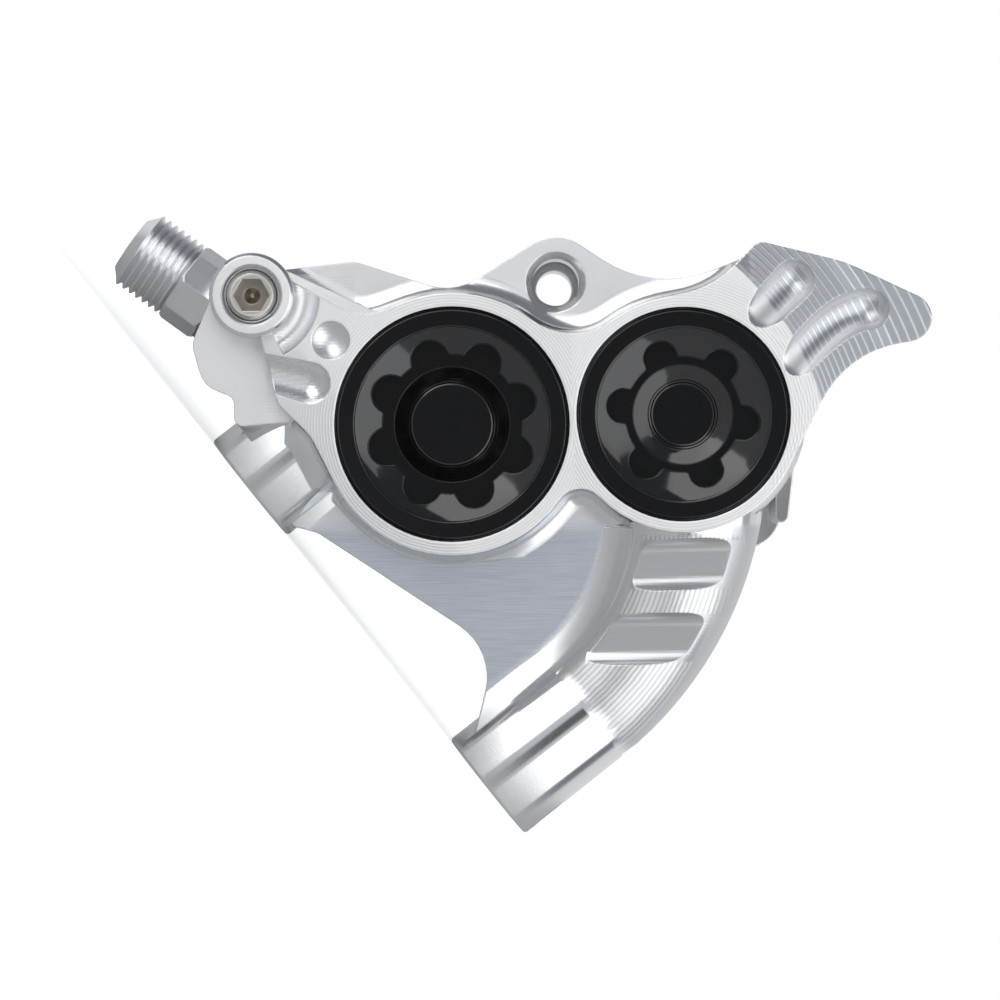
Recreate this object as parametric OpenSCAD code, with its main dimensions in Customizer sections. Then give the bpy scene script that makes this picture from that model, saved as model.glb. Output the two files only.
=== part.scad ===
// Four-piston bicycle brake caliper with a one-piece body, for two frame bolts on a flat mount.
// Origin: midway between the two bolts on the mounting face. +X runs along the bolt line,
// +Y along the wheel's axis towards the wheel, +Z away from the frame. Millimetres.
// The body's outline is drawn on a sketch plane (along, up) that leans over the bolt line.

/* [Frame mount] */
// Distance between the two frame bolts
bolt_spacing = 34; // [33:0.25:36]
// Diameter of the two mounting posts
post_d = 10.7; // [10:0.1:11]
// Core diameter of the tapped bolt holes
bolt_hole_d = 4.2; // [3.3:0.1:5]
// Depth of the tapped bolt holes
bolt_hole_depth = 8.5; // [7:0.25:8.5]
// Length of the straight part of the post that carries the arm
arm_post_length = 11; // [9:0.5:12]
// Break on the edges of the posts
post_chamfer = 0.2; // [0.1:0.05:0.6]

/* [Cylinders] */
// Lean of the body's sketch plane over the bolt line, degrees
body_lean = 51.43; // [50:0.25:53]
// Large cylinder centre, along the sketch plane from the origin
large_along = 7.46; // [7:0.1:8]
// Large cylinder centre, up the sketch plane from the origin
large_up = 18.95; // [18.5:0.1:19.5]
// Metal left between the two pistons' cylinders
bore_wall = 3.46; // [3.2:0.1:4.5]
// Slope of the line through the two cylinders, degrees
bore_slope = 2.48; // [1:0.25:4]
// Diameter of the two large pistons
large_piston_d = 18; // [17:0.25:18.5]
// Diameter of the two small pistons
small_piston_d = 16; // [15:0.25:16.5]
// Length of every piston
piston_length = 9.6; // [9:0.1:10]
// Wall of a piston's cup
piston_wall = 2.2; // [1.6:0.1:3]
// Depth of a piston's cup
piston_cup_depth = 6.6; // [4:0.1:7.5]
// Radial running clearance of a piston in its cylinder
piston_clearance = 0.08; // [0.05:0.01:0.1]

/* [Bore caps] */
// Diameter of the large cap
large_cap_d = 20.7; // [20.2:0.1:21]
// Diameter of the small cap
small_cap_d = 18.85; // [18.4:0.05:19]
// Thickness of both caps
cap_thickness = 4.6; // [4:0.1:5]
// How far a cap's face lies under the front face
cap_recess = 0.25; // [0.1:0.05:0.5]
// Width of the flat band round a cap's edge
cap_band = 1.8; // [1.4:0.1:2.2]
// How far the dish slopes down inside the band
cap_dish = 1.1; // [0.8:0.1:1.4]
// Depth of the star for the cap tool, under the dish
lobe_depth = 1.3; // [0.8:0.1:1.6]
// Radial clearance of a cap in its seat
cap_clearance = 0.05; // [0.03:0.01:0.1]
// Section diameter of the sealing rings under the caps
cap_ring_d = 1.2; // [1:0.1:1.4]

/* [Body depths] */
// Front face to the plane of the mounting posts
face_depth = 7.2; // [6.8:0.1:7.6]
// Step from the front face down to the floor round the cylinders
floor_step = 5.4; // [5:0.1:5.8]
// Radius of the ball-nose cove at the foot of the step
cove_r = 1.9; // [1.4:0.1:2.1]
// Width of the land round the large cap
large_rim = 1.25; // [1:0.05:1.6]
// Width of the land round the small cap
small_rim = 1; // [0.8:0.05:1.3]
// Thickness of the web between the two posts
web_thickness = 6; // [4:0.25:7]
// Plane of the posts to the brake disc's plane
disc_offset = 13.4; // [13:0.1:14]
// Gap between the two halves, for the pads and the disc
slot_width = 11.6; // [11.2:0.1:12]
// Thickness of the half next to the wheel
inner_half = 12.2; // [11.8:0.1:13]
// Height of the raised lands on the wheel side
back_step = 3.2; // [2.4:0.1:3.6]

/* [Pads] */
// Thickness of a pad's steel backplate
backplate_thickness = 1.8; // [1.6:0.1:2]
// Thickness of a pad's friction lining
lining_thickness = 2.3; // [2:0.05:2.4]
// Outer radius of the track that the lining sweeps
track_outer_r = 69.2; // [68.5:0.1:69.6]
// Radial height of the lining
lining_height = 15.2; // [14:0.1:16]
// Margin of the backplate over and under the lining
plate_margin = 0.8; // [0.5:0.1:1.2]
// Margin of the backplate at each end of the lining
plate_end_margin = 2.4; // [2:0.1:3]
// Radius of the track's middle, under the cylinders
track_middle_r = 61.6; // [61:0.1:62.5]
// Diameter of the pad pin's bore in the outer lug
pin_bore_d = 4.2; // [4:0.05:4.6]
// Core diameter of the pad pin's thread in the inner lug
pin_thread_d = 3.3; // [3:0.05:3.6]
// Radius of the lug round the pad pin
lug_r = 3.95; // [3.6:0.05:4.3]
// Gap left at each end of a pad
pad_end_gap = 0.35; // [0.3:0.05:0.5]
// Thickness of the pad spring's steel strip
spring_strip = 0.4; // [0.3:0.05:0.5]

/* [Fluid fittings] */
// Dip of the hose connector under the bolt line, degrees
hose_dip = 15.6; // [12:0.4:20]
// Outside diameter of the hose connector's thread
hose_thread_d = 7.4; // [7:0.1:8]
// Pitch of the hose connector's thread
hose_thread_pitch = 0.7; // [0.6:0.05:0.8]
// Number of thread crests that show
hose_thread_crests = 7; // [5:1:8]
// Octagon of the hose connector, across its flats
hose_flats = 7; // [6.5:0.1:7.5]
// Length of the octagon
hose_flats_length = 3.6; // [3:0.1:4.5]
// Diameter of the spigot screwed into the body
hose_spigot_d = 5.6; // [5:0.1:6]
// Length of the spigot
hose_spigot_length = 5; // [4:0.25:6]
// Diameter of the boss round the bleed screw
bleed_boss_d = 7.45; // [7:0.05:8]
// Height of the bleed boss over the front face
bleed_boss_rise = 1.4; // [1:0.1:2]
// Diameter of the bleed screw
bleed_screw_d = 4.4; // [4:0.05:4.8]
// Length of the bleed screw
bleed_screw_length = 4.6; // [3.5:0.1:5]
// Hexagon socket of the bleed screw, across its flats
bleed_socket = 2.8; // [2:0.1:3]

/* [Fin and arm] */
// Reach of the fin from the small cylinder
fin_reach = 20; // [18.5:0.25:21]
// Drop of the fin's face from its root to its tip
fin_drop = 3.4; // [2.5:0.1:4]
// Thickness of the fin at its root
fin_thickness = 6.4; // [5.8:0.1:7]
// Number of milled terraces on the fin
fin_terraces = 18; // [12:1:20]
// Depth of the two grooves across the arm
arm_groove_depth = 1.3; // [0.8:0.1:1.6]

/* [Hidden] */
$fn = 64;
silver = [0.86, 0.87, 0.88];
black = [0.06, 0.06, 0.07];
rubber = [0.12, 0.12, 0.13];
steel = [0.66, 0.67, 0.68];
// Overlap that lets a cut run clear of a face
clear = 1;
// Allowed distance between an arc and its chords
chord_error = 0.02;
// Straight runs shorter than this are left out of an outline
shortest_run = 0.05;

// Places on the sketch plane; the rim is the top of the pads, over the middle of the two cylinders, and
// the roof lies over the pads and over the cylinders
large = [large_along, large_up];
bore_spacing = (large_piston_d + small_piston_d) / 2 + bore_wall;
small = large + bore_spacing * [cos(bore_slope), sin(bore_slope)];
disc_centre = (large + small) / 2 - [0, track_middle_r];
pad_top_r = track_outer_r + plate_margin;
rim = disc_centre + [0, pad_top_r];
roof_sink = 0.2;
cylinder_top = max(large[1] + large_piston_d / 2, small[1] + small_piston_d / 2);
roof = [rim[0], max(rim[1], cylinder_top - roof_sink)];
pin = roof + [-1.02, 3.85];
left_hollow = roof + [-10.78, 8.31];
right_hollow = roof + [8.92, 14.71];
left_bridge = roof + [-19.12, 2.51];
left_bridge_end = roof + [-25.62, 0.76];
right_bridge = roof + [13.82, 2.94];
right_bridge_end = roof + [17.22, 2.44];
bleed = large + [-17.66, 11.36];
post_x = bolt_spacing / 2;
post_r = post_d / 2;
large_rim_r = large_cap_d / 2 + large_rim;
small_rim_r = small_cap_d / 2 + small_rim;

// Depths along Y
face_y = -face_depth;
floor_y = face_y + floor_step;
slot_front_y = disc_offset - slot_width / 2;
slot_back_y = disc_offset + slot_width / 2;
back_y = slot_back_y + inner_half;
cap_face_y = face_y + cap_recess;
cap_seat_y = cap_face_y + cap_thickness;
piston_proud = 0.3;
bore_end_room = 0.3;
wing_y = -post_r + 0.35;

// Cylinder seals: groove widths, depths and their places from the slot
seal_width = 2;
seal_depth = 1.5;
seal_place = 3.2;
dust_width = 1.3;
dust_depth = 1.3;
dust_place = 0.9;
seal_clearance = 0.05;

// A point of the part's frame (X, Z) on the sketch plane
function on_sketch(x, z) = [
    x * cos(body_lean) + z * sin(body_lean),
    -x * sin(body_lean) + z * cos(body_lean)
];

function circle_at(place, r) = [place[0], place[1], r];

// Angle of the outward normal on the straight run from circle a to circle b.
// A circle is [along, up, radius]; a negative radius is a hollow that the outline passes.
function run_normal(a, b) =
    let (d = [b[0] - a[0], b[1] - a[1]])
    atan2(d[1], d[0]) - acos(max(-1, min(1, (a[2] - b[2]) / norm(d))));

function wrap(angle) = let (a = angle - 360 * floor(angle / 360)) a > 359.9 ? 0 : a;

function arc_step(r) = 2 * acos(1 - min(0.5, chord_error / max(abs(r), chord_error)));

// Closed outline that runs round a chain of circles like a belt, moved outwards by grow.
// Where two circles touch, the run between them has no length and one of its two points is left out.
function belt(circles, grow = 0) =
    let (n = len(circles))
    [for (i = [0:n - 1])
        let (
            c = circles[i],
            next = circles[(i + 1) % n],
            from = run_normal(circles[(i + n - 1) % n], c),
            to = run_normal(c, next),
            sweep = c[2] > 0 ? wrap(to - from) : -wrap(from - to),
            steps = max(1, ceil(abs(sweep) / arc_step(c[2]))),
            run = (next[0] - c[0]) ^ 2 + (next[1] - c[1]) ^ 2 - (next[2] - c[2]) ^ 2,
            last = run < shortest_run ^ 2 ? steps - 1 : steps
        )
        for (k = [0:last])
            let (a = from + sweep * k / steps)
            [c[0] + (c[2] + grow) * cos(a), c[1] + (c[2] + grow) * sin(a)]
    ];

// Centre of the circle of radius r that touches two circles from outside
function touching(c1, r1, c2, r2, r, side) =
    let (
        d = c2 - c1,
        length = norm(d),
        along = ((r1 + r) ^ 2 - (r2 + r) ^ 2 + length ^ 2) / (2 * length),
        across = sqrt((r1 + r) ^ 2 - along ^ 2),
        unit = d / length
    )
    c1 + along * unit + side * across * [-unit[1], unit[0]];

// Puts a shape drawn as (along, Y, up) on the leaning sketch plane
module sketch() {
    rotate([0, -body_lean, 0])
        children();
}

// Plate with the given outline between two depths
module plate(outline, y0, y1) {
    translate([0, y1, 0])
        rotate([90, 0, 0])
            linear_extrude(y1 - y0)
                polygon(outline);
}

// Cylinder along Y
module bar(place, r, y0, y1) {
    translate([place[0], y1, place[1]])
        rotate([90, 0, 0])
            cylinder(r = r, h = y1 - y0);
}

// Turned piece about an axis along Y: profile points are [radius, y]
module turned(place, profile) {
    translate([place[0], 0, place[1]])
        rotate([90, 0, 0])
            rotate_extrude()
                polygon([for (p = profile) [p[0], -p[1]]]);
}

// Solid through rings of points; a loop joins the last ring to the first
module loft(rings, loop) {
    count = len(rings);
    sides = len(rings[0]);
    spans = loop ? count : count - 1;
    polyhedron(
        points = [for (ring = rings) each ring],
        faces = [
            for (j = [0:spans - 1], i = [0:sides - 1])
                let (
                    a = j * sides + i,
                    b = j * sides + (i + 1) % sides,
                    c = ((j + 1) % count) * sides + (i + 1) % sides,
                    d = ((j + 1) % count) * sides + i
                )
                each [[a, b, c], [a, c, d]],
            if (!loop) [0, for (i = [sides - 1:-1:1]) i],
            if (!loop) [for (i = [0:sides - 1]) (count - 1) * sides + i]
        ]
    );
}

// Ball-nose cove at the foot of a step; the step rises towards -Y for toward = -1, +Y for +1
module cove(circles, foot_y, toward) {
    tuck = 0.3;
    steps = 6;
    profile = [
        [-tuck, foot_y - toward * tuck],
        [-tuck, foot_y + toward * cove_r],
        for (k = [0:steps])
            let (a = 90 * k / steps)
            [cove_r * (1 - cos(a)), foot_y + toward * cove_r * (1 - sin(a))],
        [cove_r, foot_y - toward * tuck]
    ];
    order = [for (i = [0:len(profile) - 1]) toward < 0 ? i : len(profile) - 1 - i];
    loft([for (i = order) [for (p = belt(circles, profile[i][0])) [p[0], profile[i][1], p[1]]]], true);
}

// Rod with ball ends between two points
module ball_rod(a, b, r) {
    d = b - a;
    translate(a)
        sphere(r);
    translate(b)
        sphere(r);
    translate(a)
        rotate([0, acos(d[2] / norm(d)), atan2(d[1], d[0])])
            cylinder(r = r, h = norm(d));
}

// Outline of the front face, with the fin
notch_low_r = 2.3;
notch_high_r = 6;
fin_tip_r = 2.1;
notch_low = touching(large, large_rim_r, small, small_rim_r, notch_low_r, -1);
notch_high = touching(large, large_rim_r, small, small_rim_r, notch_high_r, 1);
fin_tip = small + [fin_reach, 8.61];
front_face = [
    circle_at(notch_low, -notch_low_r),
    circle_at(small, small_rim_r),
    circle_at(fin_tip + [1, -12.05], -9.95),
    circle_at(fin_tip, fin_tip_r),
    circle_at(small + [10.4, 2.12], 12),
    circle_at(small + [7, 14.06], 1.15),
    circle_at(small + [-1.7, 19], -8.5),
    circle_at(small, small_rim_r),
    circle_at(notch_high, -notch_high_r),
    circle_at(large, large_rim_r),
    circle_at(large + [-7.86, 14.15], -4.4),
    circle_at(bleed + [1.6, 0.3], 1.8),
    circle_at(large + [-14.3, 2.4], 1.2),
    circle_at(large + [-15.6, -3.3], -3.8),
    circle_at(large, large_rim_r)
];

// Outline of the floor that the front face stands on
left_hollow_r = 5;
right_hollow_r = 10.6;
housing = [
    circle_at(large, large_rim_r + 0.8),
    circle_at(small, small_rim_r + 0.6),
    circle_at(right_bridge + [2, 1.4], 1.6),
    circle_at(right_hollow, -right_hollow_r),
    circle_at(pin, lug_r),
    circle_at(left_hollow, -left_hollow_r),
    circle_at(left_bridge + [-0.16, -0.4], 3.5),
    circle_at(bleed + [1.2, 0], 2.2),
    circle_at(large + [-16.46, 1.05], 1)
];

// Outline of the wing that joins the fluid fittings to the left post
wing = [
    circle_at(on_sketch(-post_x - 5.2, 3.55), 0.8),
    circle_at(large + [-6, 2], 1),
    circle_at(large + [-6, 8.5], 1),
    circle_at(bleed, 3.3),
    circle_at(bleed + [-3.3, -4.4], 2),
    circle_at(bleed + [-2.3, -6.1], 2.5),
    circle_at(bleed + [-2.5, -9.6], -0.85)
];

// Outline of the web between the posts, hollowed beside each post
hollow_r = 5.5;
crook_r = 1.5;
web = [
    circle_at(on_sketch(-post_x + post_r - 1.2, 0.9), 0.5),
    circle_at(on_sketch(-post_x + post_r + crook_r + 0.75, 0.92), -crook_r),
    circle_at(on_sketch(post_x - post_r - hollow_r - 0.25, 1.75), -hollow_r),
    circle_at(on_sketch(post_x - 3, 1), 0.5),
    circle_at(on_sketch(post_x, arm_post_length), 1),
    circle_at(small + [-1.4, -14.8], 1.5),
    circle_at(small + [0, -4.8], 1.5),
    circle_at(large, 3)
];

// Outline of the half next to the wheel
inner_block = [
    circle_at(large, large_rim_r + 1),
    circle_at(small + [6.2, -8.6], 3.4),
    circle_at(small, small_rim_r + 0.6),
    circle_at(right_bridge + [2, 0.9], 2),
    circle_at(right_hollow, -right_hollow_r),
    circle_at(pin, lug_r),
    circle_at(left_hollow, -left_hollow_r),
    circle_at(left_bridge + [-0.16, -0.4], 3.4),
    circle_at(left_bridge_end + [0.4, -2.1], 2.5)
];

// Outline of the raised lands on the wheel side
inner_land = [
    circle_at(large, large_rim_r - 0.8),
    circle_at(touching(large, large_rim_r - 0.8, small, small_rim_r - 0.6, 3, -1), -3),
    circle_at(small, small_rim_r - 0.6),
    circle_at(touching(large, large_rim_r - 0.8, small, small_rim_r - 0.6, 3, 1), -3)
];

// Mounting post with its edge broken; its upper end tapers into the body or the arm
module post(x, length) {
    taper = 1.2;
    translate([x, 0, 0])
        rotate_extrude()
            polygon([
                [0, 0],
                [post_r - post_chamfer, 0],
                [post_r, post_chamfer],
                [post_r, length],
                [post_r - taper / 2, length + taper],
                [0, length + taper]
            ]);
}

// Arm from inside the right post to the small cylinder, swelling as it goes
module arm() {
    inner_bend = 17.25;
    outer_bend = 34.45;
    inner_turn = 49;
    outer_turn = 43;
    rings = 14;
    sides = 32;
    sunk = 0.6;
    slim = 0.15;
    foot = [post_x, arm_post_length];
    loft([
        for (j = [0:rings])
            let (
                a = inner_turn * j / rings,
                b = outer_turn * j / rings,
                inside = j == 0
                    ? foot + [slim - post_r, -sunk]
                    : foot + [-post_r - inner_bend * (1 - cos(a)), inner_bend * sin(a)],
                outside = j == 0
                    ? foot + [post_r - slim, -sunk]
                    : foot + [post_r - outer_bend * (1 - cos(b)), outer_bend * sin(b)],
                depth = j == 0 ? post_r - slim : post_r,
                middle = (inside + outside) / 2,
                half = (outside - inside) / 2
            )
            [for (i = [0:sides - 1])
                let (
                    t = 360 * i / sides,
                    p = middle + cos(t) * half
                )
                [p[0], -depth * sin(t), p[1]]]
    ], false);
}

// One groove across the arm, with round flanks
module arm_groove(height, tilt) {
    flank_r = 1.25;
    half_floor = 1;
    length = 30;
    bottom = -post_r + arm_groove_depth - flank_r;
    translate([small[0], bottom, height])
        rotate([0, tilt, 0])
            translate([-length / 2, 0, 0]) {
                for (side = [-1, 1])
                    translate([0, 0, side * half_floor])
                        rotate([0, 90, 0])
                            cylinder(r = flank_r, h = length);
                translate([0, -flank_r, -half_floor])
                    cube([length, 2 * flank_r, 2 * half_floor]);
            }
}

// Milled terraces that lower the fin's face towards its tip
module fin_cut() {
    centre = small + [-11.77, -5.81];
    root_r = 25;
    first = 0.42;
    growth = 0.028;
    edges = [for (i = [0:fin_terraces]) root_r + first * i + growth * i * (i - 1) / 2];
    top = face_y - clear;
    end_r = edges[fin_terraces] + 4;
    profile = concat(
        [[root_r, top]],
        [for (i = [0:fin_terraces])
            let (depth = face_y + fin_drop * (i + 1) / (fin_terraces + 1))
            each [
                [edges[i], depth],
                [i < fin_terraces ? edges[i + 1] : end_r, depth]
            ]],
        [[end_r, top]]
    );
    translate([centre[0], 0, centre[1]])
        rotate([90, 0, 0])
            rotate_extrude(angle = 75, start = -8)
                polygon([for (p = profile) [p[0], -p[1]]]);
}

// The two ball-nose slots in the fin. Three points steer each: [along, up] from the small cylinder, and
// the depth of the ball's centre under the front face
fin_slot_r = 1.85;
short_slot = [[7.05, 9, -1.15], [8.45, 10.45, -0.04], [9.86, 11.91, 1.08]];
long_slot = [[10.1, 4.65, -1.25], [13.74, 9.31, 1.69], [16.47, 9.33, 2.35]];
module fin_slot(path) {
    spans = 8;
    cap_spans = 4;
    sides = 24;
    pole = 85;
    points = [for (p = path) [small[0] + p[0], face_y + p[2], small[1] + p[1]]];
    first_way = (points[1] - points[0]) / norm(points[1] - points[0]);
    last_way = (points[2] - points[1]) / norm(points[2] - points[1]);
    stations = [
        for (k = [cap_spans:-1:1])
            let (a = pole * k / cap_spans)
            [points[0] - first_way * fin_slot_r * sin(a), first_way, fin_slot_r * cos(a)],
        for (k = [0:spans])
            let (
                t = k / spans,
                place = (1 - t) * (1 - t) * points[0] + 2 * t * (1 - t) * points[1] + t * t * points[2],
                way = (1 - t) * (points[1] - points[0]) + t * (points[2] - points[1])
            )
            [place, way / norm(way), fin_slot_r],
        for (k = [1:cap_spans])
            let (a = pole * k / cap_spans)
            [points[2] + last_way * fin_slot_r * sin(a), last_way, fin_slot_r * cos(a)]
    ];
    loft([
        for (s = stations)
            let (
                level = cross(s[1], [0, 1, 0]),
                across = level / norm(level),
                over = cross(across, s[1])
            )
            [for (i = [0:sides - 1])
                let (a = 360 * i / sides)
                s[0] + s[2] * (cos(a) * across + sin(a) * over)]
    ], false);
}

// Ball-nose dimples beside the bleed boss, and the groove that the ball nose leaves round the boss
module wing_dimples() {
    ball_rod(
        [large[0] - 17.5, face_y - 1.5, large[1] + 4.9],
        [large[0] - 12.56, face_y - 1, large[1] + 3.64],
        2.1
    );
    translate([large[0] - 10.7, face_y - 1.3, large[1] + 7.4])
        sphere(2.15);
}

module boss_groove() {
    r = 1.2;
    from = -62;
    turn = 82;
    ring_r = bleed_boss_d / 2 + r - 0.15;
    translate([bleed[0], face_y + 0.1, bleed[1]]) {
        rotate([90, 0, 0])
            rotate_extrude(angle = turn, start = from)
                translate([ring_r, 0])
                    circle(r);
        for (a = [from, from + turn])
            translate([ring_r * cos(a), 0, ring_r * sin(a)])
                sphere(r);
    }
}

// Cylinder with its cap seat and seal grooves, open to the front
module outer_cylinder(place, piston_d, cap_d) {
    r = piston_d / 2;
    bar(place, cap_d / 2 + cap_clearance, face_y - clear, cap_seat_y);
    bar(place, r + piston_clearance, cap_seat_y - clear, slot_front_y + clear);
    seal_grooves(place, r, slot_front_y, -1);
}

// Blind cylinder in the half next to the wheel
module inner_cylinder(place, piston_d) {
    r = piston_d / 2;
    bar(place, r + piston_clearance, slot_back_y - clear, slot_back_y + piston_length + bore_end_room);
    seal_grooves(place, r, slot_back_y, 1);
}

module seal_grooves(place, r, slot_y, into) {
    bar(place, r + dust_depth, min(slot_y + into * dust_place, slot_y + into * (dust_place + dust_width)),
        max(slot_y + into * dust_place, slot_y + into * (dust_place + dust_width)));
    bar(place, r + seal_depth, min(slot_y + into * seal_place, slot_y + into * (seal_place + seal_width)),
        max(slot_y + into * seal_place, slot_y + into * (seal_place + seal_width)));
}

// Hose connector's seat on the body, drawn as its own axis along +Z
hose_seat = bleed + [-3.03, -0.93];
hose_y = 0.4;
hose_boss_r = 4.25;
hose_boss_length = 9;
hose_washer = 0.6;
hose_sides = 8;
hose_corner_r = hose_flats / 2 / cos(180 / hose_sides);
hose_hole_room = 0.4;
spot_face_gap = 0.3;
module on_hose_axis() {
    sketch()
        translate([hose_seat[0], hose_y, hose_seat[1]])
            rotate([0, body_lean - 90 - hose_dip, 0])
                children();
}

// Bleed boss depths
boss_face_y = face_y - bleed_boss_rise;
bleed_mouth = 0.9;
bleed_mouth_r = 2.7;
bleed_head_y = boss_face_y + 0.35;
bleed_tip_y = bleed_head_y + bleed_screw_length;
bleed_ring = 0.6;
bleed_foot_y = bleed_tip_y + bleed_ring;

module bleed_boss() {
    r = bleed_boss_d / 2;
    edge = 0.3;
    turned(bleed, [
        [0, boss_face_y],
        [r - edge, boss_face_y],
        [r, boss_face_y + edge],
        [r, slot_front_y - 2.5],
        [0, slot_front_y - 2.5]
    ]);
}

// Ends of the pads' pocket, which take the braking force, on both halves
pocket_left = small[0] - 30.6;
pocket_right = small[0] + 8.6;
stop_width = 2;
stop_depth = 4.3;
module pad_stop(outline) {
    plate(outline, slot_front_y - clear, slot_front_y + stop_depth);
    plate(outline, slot_back_y - stop_depth, slot_back_y + clear);
}

// Section of a cove between the web and the flank of a post: [distance from the post's axis, y]
function flank_cove(r) =
    let (
        steps = 6,
        tuck = 0.4,
        sunk = post_r * 0.6,
        press = 0.04,
        reach = sqrt((post_r + r) ^ 2 - (r - floor_y) ^ 2) - press,
        start = asin((r - floor_y) / (post_r + r))
    )
    [
        [sunk, floor_y + tuck],
        [reach, floor_y + tuck],
        for (k = [0:steps])
            let (a = 90 + (start - 90) * k / steps)
            [reach - r * cos(a), floor_y - r + r * sin(a)],
        [sunk, floor_y - r + r * sin(start)]
    ];

// Coves along the flanks of the posts and the inner side of the arm, within the web's outline
module flank_coves() {
    arm_cove_r = 4;
    left_cove_r = 2.2;
    left_cove_length = 5;
    bend = 22.5;
    turn = 47;
    rise = 1;
    intersection() {
        union() {
            translate([-post_x, 0, rise])
                linear_extrude(left_cove_length)
                    polygon(flank_cove(left_cove_r));
            translate([post_x, 0, rise])
                linear_extrude(arm_post_length - rise)
                    polygon([for (p = flank_cove(arm_cove_r)) [-p[0], p[1]]]);
            translate([post_x - bend, 0, arm_post_length])
                rotate([90, 0, 0])
                    rotate_extrude(angle = turn)
                        polygon([for (p = flank_cove(arm_cove_r)) [bend - p[0], -p[1]]]);
        }
        sketch()
            plate(belt(web), floor_y - arm_cove_r - clear, floor_y + clear);
    }
}

// Cove where the front face's wall lands on the round top of the left post
post_cove_r = 2.1;
post_cove_left = -post_x - 3.3;
post_cove_right = -post_x + 5.4;
function frame_x(p) = p[0] * cos(body_lean) - p[1] * sin(body_lean);
function frame_z(p) = p[0] * sin(body_lean) + p[1] * cos(body_lean);
function post_top(p) =
    let (d = frame_x(p) + post_x)
    min(floor_y, -sqrt(max(0, post_r ^ 2 - d ^ 2)));
function between(value, low, high) = max(low, min(high, value));
module post_cove() {
    tuck = 0.5;
    lift = 0.03;
    steps = 6;
    spacing = 0.6;
    edge = belt(front_face);
    out = belt(front_face, 1);
    stations = [
        for (i = [0:len(edge) - 2])
            if (frame_x(edge[i]) < 0 && frame_z(edge[i]) < 2 * post_r)
                let (fill = ceil(norm(edge[i + 1] - edge[i]) / spacing))
                for (k = [0:fill - 1])
                    let (
                        p = edge[i] + (edge[i + 1] - edge[i]) * k / fill,
                        q = out[i] + (out[i + 1] - out[i]) * k / fill,
                        x = frame_x(p)
                    )
                    if (x > post_cove_left && x < post_cove_right)
                        [p, q - p]
    ];
    loft([
        for (s = stations)
            let (
                p = s[0],
                n = s[1],
                x = frame_x(p),
                r = post_cove_r * between((x - post_cove_left) / 2, 0.12, 1)
                    * between((post_cove_right - x) / 1.2, 0.3, 1),
                h = min(r, post_top(p) - face_y - 2 * lift)
            )
            [
                [p[0] - tuck * n[0], post_top(p) + tuck, p[1] - tuck * n[1]],
                [p[0] - tuck * n[0], post_top(p) - lift - h, p[1] - tuck * n[1]],
                for (k = [0:steps])
                    let (
                        a = 90 * k / steps,
                        q = p + r * (1 - cos(a)) * n
                    )
                    [q[0], post_top(q) - lift - h * (1 - sin(a)), q[1]],
                [p[0] + r * n[0], post_top(p + r * n) + tuck, p[1] + r * n[1]]
            ]
    ], false);
}

// Column that joins the two halves over the pads
module bridge(from, from_r, to, to_r) {
    plate(belt([circle_at(from, from_r), circle_at(to, to_r)]), slot_front_y - clear, slot_back_y + clear);
}

left_post_length = 12;
module body_solid() {
    sketch() {
        plate(belt(front_face), face_y, face_y + fin_thickness);
        intersection() {
            cove(front_face, floor_y, -1);
            plate(belt(housing), floor_y - cove_r - clear, floor_y + clear);
        }
        plate(belt(housing), floor_y, slot_front_y);
        plate(belt(wing), wing_y, slot_front_y - 1.5);
        post_cove();
        plate(belt(web), floor_y, floor_y + web_thickness);
        bleed_boss();
        plate(belt(inner_block), slot_back_y, back_y - back_step);
        plate(belt(inner_land), back_y - back_step - clear, back_y);
        cove(inner_land, back_y - back_step, 1);
        bridge(left_bridge, 2.9, left_bridge_end, 2.3);
        bridge(right_bridge, 1.7, right_bridge_end, 2);
        pad_stop(belt([
            circle_at([pocket_left - stop_width / 2, small[1] - 5], stop_width / 2),
            circle_at([pocket_left - stop_width / 2, small[1] + 9], stop_width / 2)
        ]));
        pad_stop(belt([
            circle_at([pocket_right + 0.6, small[1] - 9], 0.6),
            circle_at([pocket_right + stop_width / 2, small[1] - 2], stop_width / 2),
            circle_at([pocket_right + stop_width / 2, small[1] + 8], stop_width / 2)
        ]));
    }
    post(-post_x, left_post_length);
    post(post_x, arm_post_length);
    arm();
    flank_coves();
    on_hose_axis()
        translate([0, 0, -hose_boss_length])
            cylinder(r = hose_boss_r, h = hose_boss_length);
}

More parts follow.
